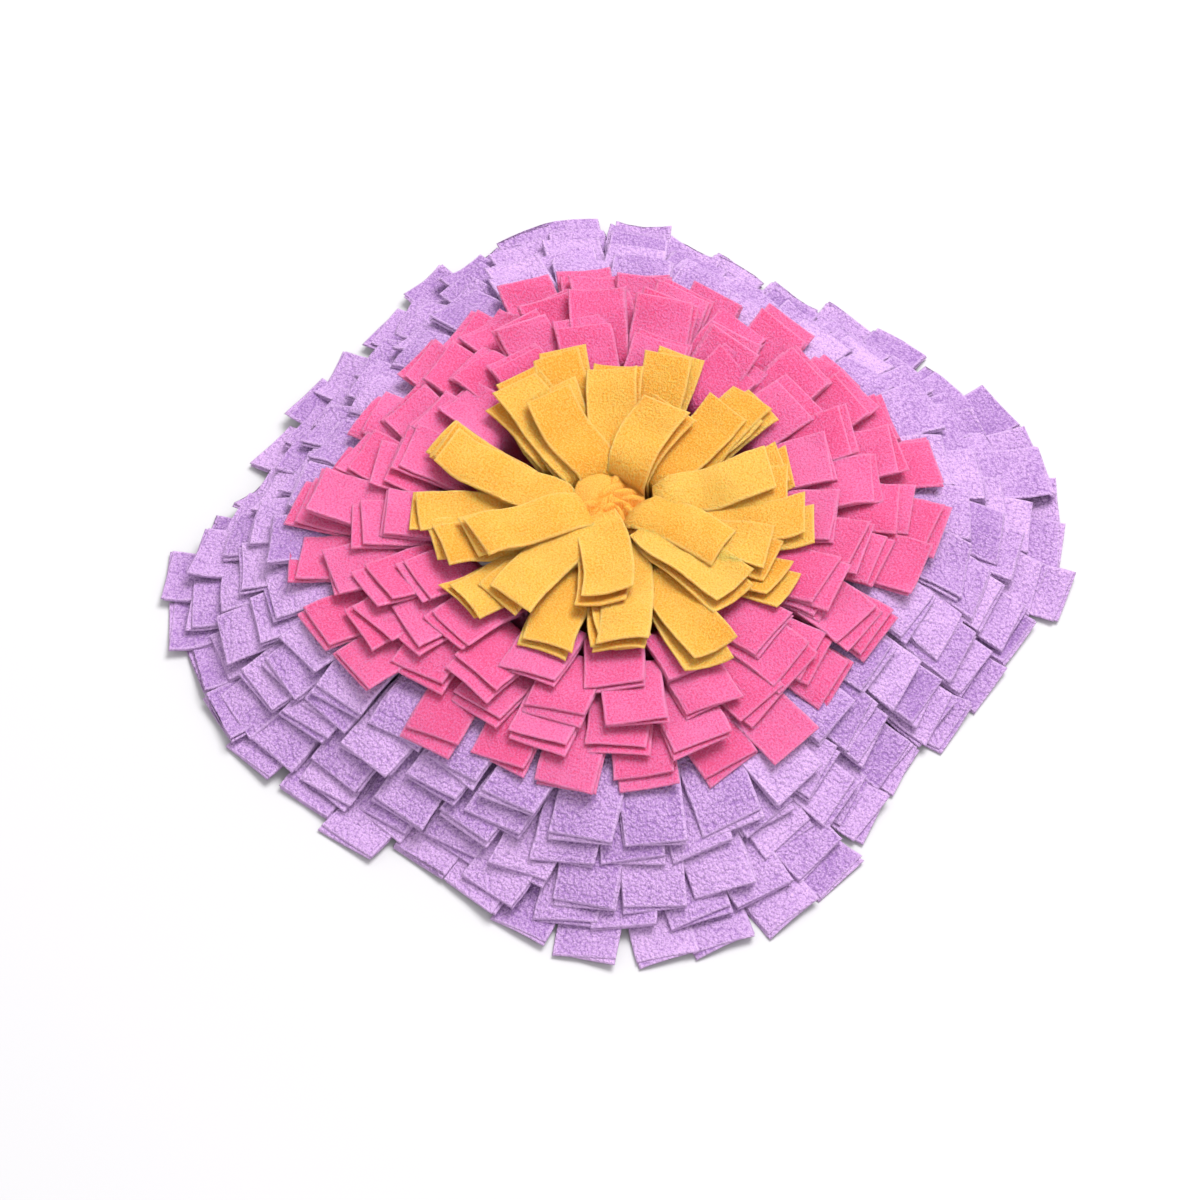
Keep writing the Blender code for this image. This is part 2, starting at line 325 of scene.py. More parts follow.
def layer_height(layer, x, y):
    """Height of a ring's strips over the surface, with the mound's bends softened."""
    level = level_at(x, y)
    spots = (-1.0, -0.5, 0.0, 0.5, 1.0)
    heights = [between(max(0.0, level + spot * MOUND_SOFTENING), MOUND) for spot in spots]
    return sum(heights) / len(heights) + layer * LAYER_PITCH


def heading_radius(ring):
    return core_of(ring.tip)[2] - (ring.tip - ring.root)


def heading_line(ring):
    """Closed line along which a ring's uncut heading is sewn down, in plan."""
    if isinstance(ring, FlowerRing):
        middle, steps = Vector((ring.aside, 0.0)), FLOWER_LINE_STEPS
        return [middle + on_circle(360 * step / steps, ring.root) for step in range(steps)]
    radius, steps = heading_radius(ring), RING_LINE_STEPS
    return [ring_point(ring.tip, step / steps, radius)[0] for step in range(steps)]


def ring_strips(ring, chance):
    """Root, tip and width of each strip of a rounded-square ring, in order round it."""
    root_radius = heading_radius(ring)
    outline = max(0.0, ring.tip - OUTLINE_FADE) / (RINGS[0].tip - OUTLINE_FADE)
    strips = []
    for number in range(ring.strips):
        share = (number + ring.first) / ring.strips
        root, outward = ring_point(ring.tip, share, root_radius)
        swing = LEAN_SWING * math.sin(math.tau * (LEAN_WAVES * share + ring.first))
        lean = math.radians(swing + either_way(chance, LEAN_SPREAD))
        reach = ring.tip - ring.root + either_way(chance, REACH_SPREAD)
        reach += outline * between(bearing_of(root), OUTLINE)
        width = STRIP_WIDTH + either_way(chance, WIDTH_SPREAD)
        sideways = Vector((-outward.y, outward.x)) * reach * math.tan(lean)
        tip = root + outward * reach + sideways

        def width_at(distance, share=share, width=width):
            spot, _ = ring_point(ring.tip, share, root_radius + distance)
            room = min(
                (ring_point(ring.tip, share + step, root_radius + distance)[0] - spot).length
                for step in (-1 / ring.strips, 1 / ring.strips)
            )
            return min(width, room)

        strips.append(Strip(root, tip, width_at))
    return strips


def petal_strip(ring, petal, chance):
    """Root, tip and width of one petal: its root lies where its axis meets the heading."""
    tip = Vector((petal.x, petal.y))
    back = -on_circle(petal.axis, 1.0)
    away = tip - Vector((ring.aside, 0.0))
    along = away.dot(back)
    inside = max(0.0, ring.root ** 2 - (away.length_squared - along ** 2))
    root = tip + back * (-along - math.sqrt(inside))
    width = STRIP_WIDTH + either_way(chance, WIDTH_SPREAD)

    def width_at(distance, width=width):
        opened = max(0.0, min(1.0, distance / PETAL_SPREAD_OUT))
        return min(width, ring.neck + (width - ring.neck) * opened)

    return Strip(root, tip, width_at)


def make_ply(strip, layer, offset, reach, skew, lie):
    """One ply of a strip: up from the heading, over its knee and out over its layer."""
    away = strip.tip - strip.root
    heading = math.atan2(away.y, away.x) + math.radians(lie.turn)
    out = Vector((math.cos(heading), math.sin(heading)))
    across = Vector((-out.y, out.x, 0.0))
    top = layer_height(layer, *strip.root) + lie.rise
    wall = top - KNEE_DROP - FOOT - HEADING_HEIGHT
    walls = max(1, round(wall / WALL_STEP))
    path = [(0.0, FOOT + ROOT_GAP), (0.0, FOOT + HEADING_HEIGHT)]
    for step in range(1, walls + 1):
        share = step / walls
        leant = WALL_LEAN * share - lie.lean_in * share
        path.append((leant, FOOT + HEADING_HEIGHT + share * wall))
    knee = KNEE_REACH - lie.lean_in
    path.append((knee, top - KNEE_SINK))
    steps = max(2, round((reach - knee) / GUIDE_STEP))
    for step in range(1, steps + 1):
        distance = knee + (reach - knee) * step / steps
        spot = strip.root + out * distance
        height = layer_height(layer, *spot) + lie.rise
        along = max(0.0, distance / reach)
        arch = (1 - math.cos(math.tau * (distance / ARCH_LENGTH + lie.seed))) / 2
        path.append((distance, height + lie.lift * along ** 3 + lie.arch * arch * along))
    if lie.tuck:
        end, crest = path[-1]
        for bend in TUCK_BENDS:
            turned = math.radians(bend)
            drop = lie.tuck * (1 - math.cos(turned))
            path.append((end + lie.tuck * math.sin(turned), crest - drop))
        path.append((end - lie.tuck, crest - 2 * lie.tuck))
    spots, sides, widths = [], [], []
    for distance, height in path:
        eased = max(0.0, min(1.0, distance / reach))
        aside = 4 * lie.bow * eased * (1 - eased)
        tilt = math.radians(lie.roll) * eased
        half = lie.wide * strip.width_at(distance + lie.lean_in) / 2
        lowest = LOWEST - min(0.0, offset) + half * abs(math.sin(tilt)) + abs(lie.curl) * eased
        spot = strip.root + out * distance + across.xy * aside
        spots.append(Vector((*spot, max(height, lowest))))
        sides.append(across * math.cos(tilt) + Vector((0, 0, math.sin(tilt))))
        widths.append(half)
    length = sum((b - a).length for a, b in zip(spots, spots[1:]))
    return Ply(spots, sides, widths, offset, lie.curl, skew, length, lie.wave, lie.seed)


def folded_strip(strip, layer, chance, lie, fold, fan=0.0, extra=0.0):
    """The two plies of a folded strip, the upper one first."""
    plies = []
    for side, past in ((1, fold.upper), (-1, fold.lower)):
        reach = (strip.tip - strip.root).length + extra + past
        reach += either_way(chance, fold.spread)
        turn = lie.turn + side * fan / 2 + either_way(chance, fold.turn)
        skew = either_way(chance, SKEW_SPREAD)
        own = lie._replace(turn=turn, seed=lie.seed + PLY_SEED_STEP * side)
        offset = side * (PLY_OFFSET + fold.gap / 2)
        plies.append(make_ply(strip, layer, offset, reach, skew, own))
    return plies


def ring_strip_plies(strip, layer, colour, chance):
    """A strip of a lilac or pink ring, a little out of line as real ones lie."""
    habit = HABITS[colour]
    floor_rise = RISE_SPREAD if layer == 0 else 0.0
    bearing = bearing_of(strip.tip)
    loose = between(bearing, LOOSENESS)
    free = 1.0 if layer < len(RINGS) - 1 else PRESSED
    lifted = min(MOST_LIFTED, abs(chance.gauss(0.0, 1.0))) * habit.lift
    lie = Lie(
        turn=chance.gauss(0.0, habit.turn) * (1 + 0.7 * loose),
        roll=habit.roll + free * either_way(chance, ROLL_SPREAD) * (1 + 2.0 * loose),
        lift=free * lifted * (1 + 2 * loose) - habit.drop,
        rise=free * either_way(chance, RISE_SPREAD) + floor_rise,
        curl=either_way(chance, CURL_SPREAD) * (1 + 2 * loose),
        arch=free * habit.arch * (1 + 0.8 * loose) * chance.uniform(0.3, 1.0),
        wave=habit.wave * chance.uniform(0.6, 1.4) * (1 + 0.8 * loose),
        bow=either_way(chance, STRIP_BOW),
        seed=chance.uniform(0.0, SEEDS),
        wide=habit.wide,
    )
    extra = either_way(chance, habit.reach)
    if colour == "pink":
        extra += between(bearing, PINK_OUTLINE)
    for tuck in TUCKS:
        if tuck.layer == layer and abs(bearing - tuck.bearing) < tuck.within:
            lie = lie._replace(roll=0.0, curl=0.0, turn=0.0, lift=tuck.lift, tuck=tuck.radius)
            extra += tuck.past
    return folded_strip(strip, layer, chance, lie, FOLDS[colour], extra=extra)


def petal_plies(number, petal, strip, layer, ring, chance):
    """A petal of the flower, which leans in towards the knot before it bends outward."""
    habit = HABITS["yellow"]
    lie = Lie(
        roll=either_way(chance, PETAL_ROLL_SPREAD),
        lift=petal.lift,
        rise=PETAL_RISE * (1 if number % 2 else -1) + ring.lift,
        curl=either_way(chance, PETAL_CURL_SPREAD),
        lean_in=ring.lean_in,
        arch=ring.arch * petal.wave,
        wave=habit.wave * petal.wave,
        bow=either_way(chance, PETAL_BOW),
        seed=chance.uniform(0.0, SEEDS),
        wide=habit.wide,
    )
    fold = FOLDS["yellow"]._replace(gap=petal.gap)
    return folded_strip(strip, layer, chance, lie, fold, fan=petal.fan)


# ---- Node trees
FAR_FROM_EDGE = 0.01        # cloth this far from a cut edge has none of its painted highlight
FREE_FROM = (0.008, 0.030)  # how far along a ply its waves set in
SKEW_FROM = (0.5, 1.0)      # and the slant of its end, as shares of its length
ROOT_PAINTED_SHADE_TO = (0.004, 0.046)    # how far along a ply the painted shade at its root fades
FLAT_AT = 0.4               # where a curled ply crosses its flat shape
WOBBLE_SCALE = 90.0
SWELL = 4.0
OFF_FLOOR = 0.0001
CLOTH_STEP = (0.0613, 0.0377)
TINT_STEP = 7.31
STITCH_HEIGHT = 0.0005


class NodeMaker:
    """Adds nodes to a tree; each input is a socket to link or a value to set."""

    def __init__(self, tree):
        self.tree = tree

    def put(self, value, socket):
        if isinstance(value, bpy.types.NodeSocket):
            self.tree.links.new(value, socket)
        elif value is not None:
            socket.default_value = value

    def fill(self, node, values):
        """Links or sets inputs by name."""
        for name, value in values.items():
            self.put(value, node.inputs[name])

    def add(self, kind, *values, named=None, **settings):
        node = self.tree.nodes.new(kind)
        for name, value in settings.items():
            setattr(node, name, value)
        for socket, value in zip([s for s in node.inputs if s.enabled], values):
            self.put(value, socket)
        self.fill(node, named or {})
        return node

    def get(self, kind, *values, named=None, **settings):
        """Adds a node and gives its first output in use."""
        node = self.add(kind, *values, named=named, **settings)
        return next(socket for socket in node.outputs if socket.enabled)

    def geo(self, kind, *values, named=None, **settings):
        return self.get("GeometryNode" + kind, *values, named=named, **settings)

    def math(self, operation, *values):
        return self.get("ShaderNodeMath", *values, operation=operation)

    def plus(self, *values):
        return functools.reduce(functools.partial(self.math, "ADD"), values)

    def minus(self, one, two):
        return self.math("SUBTRACT", one, two)

    def times(self, one, two):
        return self.math("MULTIPLY", one, two)

    def centred(self, value):
        """A share from 0 to 1, counted from its middle."""
        return self.minus(value, 0.5)

    def vector(self, operation, *values):
        return self.get("ShaderNodeVectorMath", *values, operation=operation)

    def scaled(self, vector, factor):
        named = {"Vector": vector, "Scale": factor}
        return self.add("ShaderNodeVectorMath", named=named, operation="SCALE").outputs["Vector"]

    def joined(self, x, y, z):
        return self.get("ShaderNodeCombineXYZ", x, y, z)

    def smooth(self, value, low, high):
        """Rises from 0 to 1 between low and high."""
        return self.get(
            "ShaderNodeMapRange", value, low, high, 0.0, 1.0, interpolation_type="SMOOTHSTEP"
        )

    def noise(self, place, dimensions, scale, detail, **named):
        """Outputs of a noise node: its value, then its colour."""
        named |= {"Scale": scale, "Detail": detail}
        return self.add(
            "ShaderNodeTexNoise", place, named=named, noise_dimensions=dimensions
        ).outputs

    def mix(self, factor, first, second):
        """Colour between two."""
        node = self.add("ShaderNodeMix", data_type="RGBA", clamp_factor=True)
        colours = [socket for socket in node.inputs if socket.type == "RGBA"]
        for value, socket in zip((factor, first, second), (node.inputs["Factor"], *colours)):
            self.put(value, socket)
        return next(socket for socket in node.outputs if socket.type == "RGBA")

    def bump(self, height, strength, distance):
        named = {"Height": height, "Strength": strength, "Distance": distance}
        return self.get("ShaderNodeBump", named=named)

    def attribute(self, name, data_type="FLOAT"):
        """A value stored on the geometry."""
        return self.geo("InputNamedAttribute", name, data_type=data_type)

    def store(self, geometry, name, value, data_type="FLOAT", domain="POINT"):
        return self.geo(
            "StoreNamedAttribute", geometry, None, name, value,
            data_type=data_type, domain=domain,
        )


def new_tree(name, kind, inputs, outputs):
    """Empty tree; each socket is given by its type or, if it is a number, by its default."""
    tree = bpy.data.node_groups.new(name, kind)
    for in_out, sockets in (("INPUT", inputs), ("OUTPUT", outputs)):
        for label, given in sockets.items():
            typed = isinstance(given, str)
            socket_type = "NodeSocket" + (given if typed else "Float")
            socket = tree.interface.new_socket(label, in_out=in_out, socket_type=socket_type)
            if not typed:
                socket.default_value = given
    return tree


def strip_tree():
    """Turns guide lines into closed fleece plies and the ring's standing heading."""
    inputs = {
        "Guides": "Geometry",
        "Ply Thickness": 0.0014,
        "Edge Rounding": 0.0006,
        "Edge Wobble": 0.0004,
        "Wave Height": 0.0006,
        "Wave Length": 0.030,
        # how much painted shade darkens the plies towards their roots, where the layers above shade
        # them
        "Root Shade": 1.0,
        "Heading Width": 0.003,
        "Heading Height": 0.006,
        "Fleece": "Material",
    }
    tree = new_tree("fleece_strips", "GeometryNodeTree", inputs, {"Strips": "Geometry"})
    m = NodeMaker(tree)
    given = m.add("NodeGroupInput").outputs
    split = m.add(
        "GeometryNodeSeparateGeometry", given["Guides"], m.attribute("heading", "BOOLEAN"),
        domain="POINT",
    ).outputs

    line = m.geo("MeshToCurve", split["Selection"])
    sizes = given["Heading Width"], given["Heading Height"]
    section = m.geo("CurvePrimitiveQuadrilateral", *sizes)
    wall = m.store(m.geo("CurveToMesh", line, section), "edge", FAR_FROM_EDGE)

    guides = m.geo("MeshToCurve", split["Inverted"])
    guides = m.geo("CurveSplineType", guides, spline_type="CATMULL_ROM")
    count = m.add("GeometryNodeAttributeDomainSize", guides, component="CURVE")
    spots = m.geo("Points", count.outputs["Spline Count"])
    block = m.geo("MeshCube", (1.0, 2.0, 2.0), BLOCK_STATIONS, BLOCK_COLUMNS, BLOCK_ROWS)
    copies = m.geo("InstanceOnPoints", spots, named={"Instance": block})
    copies = m.store(copies, "strip", m.geo("InputIndex"), "INT", "INSTANCE")
    plies = m.geo("RealizeInstances", copies)
    number = m.attribute("strip", "INT")

    # Where a point of the block lies: along the ply, across it and through it.
    place = m.add("ShaderNodeSeparateXYZ", m.geo("InputPosition")).outputs
    along = m.plus(place["X"], 0.5)
    factor = m.minus(1.0, m.math("POWER", m.minus(1.0, along), STATION_CROWDING))
    swung = m.math("SINE", m.times(m.math("ABSOLUTE", place["Y"]), math.pi / 2))
    outer = m.math("SQRT", swung)
    side_sign = m.math("SIGN", place["Y"])
    signed = m.times(outer, side_sign)
    rim = m.math("ABSOLUTE", place["Z"])

    def sampled(name, data_type="FLOAT"):
        return m.add(
            "GeometryNodeSampleCurve", guides, m.attribute(name, data_type), factor,
            named={"Curve Index": number},
            data_type=data_type, mode="FACTOR", use_all_curves=False,
        ).outputs

    def first_of(sockets):
        return next(socket for socket in sockets if socket.enabled)

    guide = sampled("side", "FLOAT_VECTOR")
    side, middle = first_of(guide), guide["Position"]
    half_width, offset, curl, skew, length, wave, seed = (
        first_of(sampled(name)) for name in PLY_VALUES
    )
    tangent = m.vector("NORMALIZE", guide["Tangent"])
    normal = m.vector("NORMALIZE", m.vector("CROSS_PRODUCT", tangent, side))
    distance = m.times(factor, length)
    flat_across = m.times(signed, half_width)

    wobble = m.noise(m.joined(distance, side_sign, seed), "3D", WOBBLE_SCALE, 1.0)[0]
    wobble = m.times(m.centred(wobble), given["Edge Wobble"])
    inset = m.times(rim, given["Edge Rounding"])
    across = m.times(signed, m.minus(m.plus(half_width, wobble), inset))

    wave_at = m.joined(distance, flat_across, 0.0)
    wave_at = m.scaled(wave_at, m.math("DIVIDE", 1.0, given["Wave Length"]))
    swell = m.noise(wave_at, "4D", 1.0, 1.0, W=seed, Roughness=0.4)[0]
    swell = m.times(m.centred(swell), SWELL)
    swell = m.times(swell, m.times(wave, given["Wave Height"]))
    bowed = m.times(curl, m.minus(m.math("POWER", outer, 2.0), FLAT_AT))
    free = m.smooth(distance, *FREE_FROM)
    thick = m.times(place["Z"], m.times(given["Ply Thickness"], 0.5))
    lift = m.plus(m.times(m.plus(swell, bowed), free), offset, thick)

    slant = m.times(m.times(skew, flat_across), m.smooth(factor, *SKEW_FROM))
    slant = m.minus(slant, m.times(m.math("GREATER_THAN", along, 0.999), inset))

    spot = middle
    for way, amount in ((side, across), (normal, lift), (tangent, slant)):
        spot = m.vector("ADD", spot, m.scaled(way, amount))
    parts = m.add("ShaderNodeSeparateXYZ", spot).outputs
    height = m.math("MAXIMUM", parts["Z"], OFF_FLOOR)
    spot = m.joined(parts["X"], parts["Y"], height)

    # Every ply is cut from a place of its own in the cloth.
    cloth_x = m.plus(distance, thick, m.times(number, CLOTH_STEP[0]))
    cloth_y = m.plus(flat_across, thick, m.times(number, CLOTH_STEP[1]))
    plies = m.store(plies, "UVMap", m.joined(cloth_x, cloth_y, 0.0), "FLOAT2", "CORNER")
    to_side = m.times(m.minus(1.0, outer), half_width)
    to_tip = m.minus(length, distance)
    plies = m.store(plies, "edge", m.math("MINIMUM", to_side, to_tip))
    # Each ply's own random tone, less painted shade towards its root, where the layers above shade
    # it.
    own_tint = m.math("FRACT", m.times(seed, TINT_STEP))
    in_root_painted_shade = m.minus(1.0, m.smooth(distance, *ROOT_PAINTED_SHADE_TO))
    plies = m.store(plies, "tint", m.minus(own_tint, m.times(in_root_painted_shade, given["Root Shade"])))
    plies = m.geo("SetPosition", plies, named={"Position": spot})
    plies = m.geo("SetShadeSmooth", plies)

    both = m.add("GeometryNodeJoinGeometry")
    for part in (wall, plies):
        tree.links.new(part, both.inputs[0])
    whole = m.geo("RealizeInstances", both.outputs[0])
    whole = m.geo("SetMaterial", whole, named={"Material": given["Fleece"]})
    m.add("NodeGroupOutput", named={"Strips": whole})
    return tree


def stitch_tree():
    """Sets a short thread stitch along every guide line at an even pitch."""
    inputs = {
        "Seams": "Geometry",
        "Stitch Pitch": 0.005,
        "Stitch Length": 0.0038,
        "Thread Width": 0.0007,
        "Thread": "Material",
    }
    tree = new_tree("seam_stitches", "GeometryNodeTree", inputs, {"Stitches": "Geometry"})
    m = NodeMaker(tree)
    given = m.add("NodeGroupInput").outputs
    lines = m.geo("MeshToCurve", given["Seams"])
    pitch = {"Length": given["Stitch Pitch"]}
    spots = m.geo("ResampleCurve", lines, named=pitch, mode="LENGTH")
    bead = m.geo("MeshUVSphere", 6, 4, 0.5)
    tangent = m.geo("InputTangent")
    turn = m.get("FunctionNodeAlignRotationToVector", named={"Vector": tangent}, axis="X")
    size = m.joined(given["Stitch Length"], given["Thread Width"], STITCH_HEIGHT)
    named = {"Instance": bead, "Rotation": turn, "Scale": size}
    copies = m.geo("InstanceOnPoints", spots, named=named)
    whole = m.geo("RealizeInstances", copies)
    whole = m.geo("SetShadeSmooth", whole)
    whole = m.geo("SetMaterial", whole, named={"Material": given["Thread"]})
    m.add("NodeGroupOutput", named={"Stitches": whole})
    return tree


# ---- Materials
SOAK_DEPTH = 0.005          # how deep light soaks into the fleece
WARP_SCALE, WARP = 260.0, 0.0022            # how the bobbles are pushed out of shape
BOBBLE_SOFTNESS, BOBBLE_SLOPE = 0.45, 1.25
PATCH_SCALE, PATCH_SHADE = 55.0, 0.5        # worn and fluffy patches
# Bobbles are lighter on top and darker in the cracks between them: painted shade of their relief.
BOBBLE_PAINTED_SHADE, BOBBLE_MIDDLE, NAP_SHADE = 0.60, 0.45, 2.4
WEAVE_SCALE, WEAVE_BEND = 210.0, 0.6
FLUFF_SCALE, FLUFF = 900.0, 0.8
WEAVE_DARK, WEAVE_SHADE = 0.78, 0.55
EDGE_FADE = (0.0002, 0.0016)
# Painted highlight: cloth near a cut edge is made paler, where its fuzz would catch the light.
EDGE_HIGHLIGHT = 0.55
TINT_SHARE = 0.5            # how much the strips differ in lightness

# Each colour's darkest share of its own colour, which is also the colour of its painted shade,
# the painted highlight on its cut edges, the size and depth of its bobbles and of its finer nap,
# the relief, how much light soaks in, and how far its red, green and blue spread.
Nap = namedtuple("Nap", "deep pale bobble bobble_depth nap nap_depth relief soak glow")
NAPS = {
    "lilac": Nap(
        (0.43, 0.34, 0.54), 0.06, 0.0021, 0.95, 0.0010, 0.85, 0.0013, 0.05, (0.9, 0.7, 1.0)
    ),
    "pink": Nap(
        (0.98, 0.42, 0.56), 0.10, 0.0021, 0.36, 0.0012, 1.65, 0.0017, 0.55, (1.0, 0.26, 0.42)
    ),
    "yellow": Nap(
        (1.0, 0.64, 0.28), 0.08, 0.0021, 0.30, 0.0012, 1.45, 0.0017, 0.55, (1.0, 0.45, 0.10)
    ),
    "knot": Nap(
        (0.97, 0.60, 0.30), 0.04, 0.0021, 0.22, 0.0009, 1.25, 0.0014, 0.45, (1.0, 0.45, 0.10)
    ),
}


def new_material(name):
    """Material with the maker of its nodes and its shader."""
    material = bpy.data.materials.new(name)
    material.use_nodes = True
    tree = material.node_tree
    return material, NodeMaker(tree), tree.nodes["Principled BSDF"]


def nap_group():
    """Surface of fleece: soft bobbles, fine nap, and how light each place is."""
    inputs = {
        "Cloth": "Vector",
        "Bobble Size": 0.0026,
        "Bobble Depth": 1.0,
        "Nap Size": 0.0007,
        "Nap Depth": 0.4,
    }
    outputs = {"Height": "Float", "Lightness": "Float"}
    tree = new_tree("fleece_nap", "ShaderNodeTree", inputs, outputs)
    m = NodeMaker(tree)
    given = m.add("NodeGroupInput").outputs
    cloth = given["Cloth"]
    warp = m.vector("SUBTRACT", m.noise(cloth, "2D", WARP_SCALE, 2.0)["Color"], (0.5, 0.5, 0.5))
    bobbles = m.add(
        "ShaderNodeTexVoronoi", m.vector("ADD", cloth, m.scaled(warp, WARP)),
        named={
            "Scale": m.math("DIVIDE", 1.0, given["Bobble Size"]), "Smoothness": BOBBLE_SOFTNESS,
        },
        voronoi_dimensions="2D", feature="SMOOTH_F1",
    ).outputs["Distance"]
    dome = m.minus(1.0, m.times(bobbles, BOBBLE_SLOPE))
    finer = m.math("DIVIDE", 1.0, given["Nap Size"])
    nap = m.noise(cloth, "2D", finer, 3.0, Roughness=0.65)[0]
    patches = m.noise(cloth, "2D", PATCH_SCALE, 2.0)[0]
    height = m.plus(m.times(dome, given["Bobble Depth"]), m.times(nap, given["Nap Depth"]))
    # Painted shade: lighter on the bobbles' tops, darker in the cracks between them.
    bobble_painted_shade_share = m.times(given["Bobble Depth"], BOBBLE_PAINTED_SHADE)
    bobble_painted_shade = m.times(m.minus(dome, BOBBLE_MIDDLE), bobble_painted_shade_share)
    from_nap = m.times(m.centred(nap), m.times(given["Nap Depth"], NAP_SHADE))
    light = m.plus(bobble_painted_shade, from_nap, m.times(m.centred(patches), PATCH_SHADE), 0.5)
    m.add("NodeGroupOutput", named={"Height": height, "Lightness": light})
    return tree


def fleece(colour, kind=None):
    """The fleece material of this colour, or a kind of it, made once; its pattern is laid
    along each strip's own cloth."""
    kind = kind or colour
    name = kind + "_fleece_nap"
    if name in bpy.data.materials:
        return bpy.data.materials[name]
    settings = bpy.context.scene.snuffle_fleece
    light = tuple(getattr(settings, colour))
    look = NAPS[kind]
    dark = [part * share for part, share in zip(light, look.deep)]
    edge = [part + (1.0 - part) * look.pale for part in light]
    material, m, shader = new_material(name)
    material.diffuse_color = (*light, 1.0)
    surface = m.add(
        "ShaderNodeGroup", node_tree=bpy.data.node_groups.get("fleece_nap") or nap_group(),
        named={
            "Cloth": m.add("ShaderNodeUVMap", uv_map="UVMap").outputs["UV"],
            "Bobble Size": look.bobble,
            "Bobble Depth": look.bobble_depth,
            "Nap Size": look.nap,
            "Nap Depth": look.nap_depth,
        },
    ).outputs
    # Lightness from the nap and each strip's random tone, with painted shade near the roots and in
    # the knot's creases.
    tint, border = (
        m.add("ShaderNodeAttribute", attribute_name=label).outputs["Fac"]
        for label in ("tint", "edge")
    )
    shade = m.plus(surface["Lightness"], m.times(m.centred(tint), TINT_SHARE))
    base = m.mix(shade, (*dark, 1.0), (*light, 1.0))
    # Painted highlight along the cut edges.
    near = m.minus(1.0, m.smooth(border, *EDGE_FADE))
    m.fill(shader, {
        "Base Color": m.mix(m.times(near, EDGE_HIGHLIGHT), base, (*edge, 1.0)),
        "Normal": m.bump(surface["Height"], 1.0, look.relief),
        "Roughness": 0.95,
        "Specular IOR Level": 0.15,
        "Sheen Weight": settings.sheen,
        "Sheen Roughness": 0.6,
        "Sheen Tint": (*light, 1.0),
        "Subsurface Weight": look.soak,
        "Subsurface Radius": look.glow,
        "Subsurface Scale": SOAK_DEPTH,
    })
    return material


def backing():
    """Plain white felted backing, faintly woven, made once."""
    name = "backing_cloth_weave"
    if name in bpy.data.materials:
        return bpy.data.materials[name]
    colour = tuple(bpy.context.scene.snuffle_backing.colour)
    material, m, shader = new_material(name)
    place = m.add("ShaderNodeTexCoord").outputs["Object"]
    weft, warp = (
        m.add(
            "ShaderNodeTexWave", place, named={"Scale": WEAVE_SCALE, "Distortion": WEAVE_BEND},
            wave_type="BANDS", bands_direction=direction,
        ).outputs["Fac"]
        for direction in "XY"
    )
    fluff = m.noise(place, "3D", FLUFF_SCALE, 3.0)[0]
    height = m.plus(m.math("MAXIMUM", weft, warp), m.times(fluff, FLUFF))
    dark = [WEAVE_DARK * part for part in colour]
    m.fill(shader, {
        "Base Color": m.mix(m.times(height, WEAVE_SHADE), (*dark, 1.0), (*colour, 1.0)),
        "Normal": m.bump(height, 0.4, 0.0003),
        "Roughness": 0.9,
        "Specular IOR Level": 0.2,
    })
    return material


# ---- Meshes and pieces
def placed(name, mesh):
    """New object of this mesh or other data, in the scene."""
    item = bpy.data.objects.new(name, mesh)
    bpy.context.scene.collection.objects.link(item)
    return item


def add_line(spots, edges, line, closed):
    """Adds a line's points and the edges between them."""
    start, count = len(spots), len(line)
    spots += line
    joints = range(count if closed else count - 1)
    edges += [(start + step, start + (step + 1) % count) for step in joints]


def store_on(mesh, name, values, kind="FLOAT", field="value"):
    mesh.attributes.new(name, kind, "POINT").data.foreach_set(field, values)


def guide_object(name, plies, headings):
    """Mesh of edges that the strip tree reads, with what each ply needs at its points."""
    spots, edges, sides, flags = [], [], [], []
    rows = {key: [] for key in PLY_VALUES}
    for ply in plies:
        count = len(ply.spots)
        add_line(spots, edges, ply.spots, closed=False)
        sides += ply.sides
        flags += [False] * count
        for key, row in rows.items():
            value = getattr(ply, key)
            row += value if key == "half_width" else [value] * count
    for line in headings:
        count = len(line)
        add_line(spots, edges, line, closed=True)
        sides += [Vector((0, 0, 1))] * count
        flags += [True] * count
        for row in rows.values():
            row += [0.0] * count
    mesh = bpy.data.meshes.new(name)
    mesh.from_pydata(spots, edges, [])
    for key, row in rows.items():
        store_on(mesh, key, row)
    flat = [part for side in sides for part in side]
    store_on(mesh, "side", flat, "FLOAT_VECTOR", "vector")
    store_on(mesh, "heading", flags, "BOOLEAN")
    return placed(name, mesh)


def baked(name, guides, tree, values):
    """Runs a node tree on the guides and keeps its result as a plain mesh object."""
    modifier = guides.modifiers.new("Make", "NODES")
    modifier.node_group = tree
    for socket in tree.interface.items_tree:
        if socket.in_out == "INPUT" and socket.name in values:
            modifier[socket.identifier] = values[socket.name]
    graph = bpy.context.evaluated_depsgraph_get()
    mesh = bpy.data.meshes.new_from_object(guides.evaluated_get(graph))
    if not mesh.polygons:
        raise RuntimeError(f"{name}: its node tree gave no faces")
    mesh.name = name
    bpy.data.objects.remove(guides, do_unlink=True)
    return placed(name, mesh)


def closed_mesh(name, rings):
    """Smooth closed mesh of rings of points, each joined to the next and the ends capped."""
    shape = bmesh.new()
    rings = [[shape.verts.new(spot) for spot in ring] for ring in rings]
    for one, two in zip(rings, rings[1:]):
        for step in range(len(one)):
            after = (step + 1) % len(one)
            shape.faces.new((one[step], two[step], two[after], one[after]))
    shape.faces.new(rings[0])
    shape.faces.new(reversed(rings[-1]))
    bmesh.ops.recalc_face_normals(shape, faces=shape.faces)
    for face in shape.faces:
        face.smooth = True
    mesh = bpy.data.meshes.new(name)
    shape.to_mesh(mesh)
    shape.free()
    return mesh


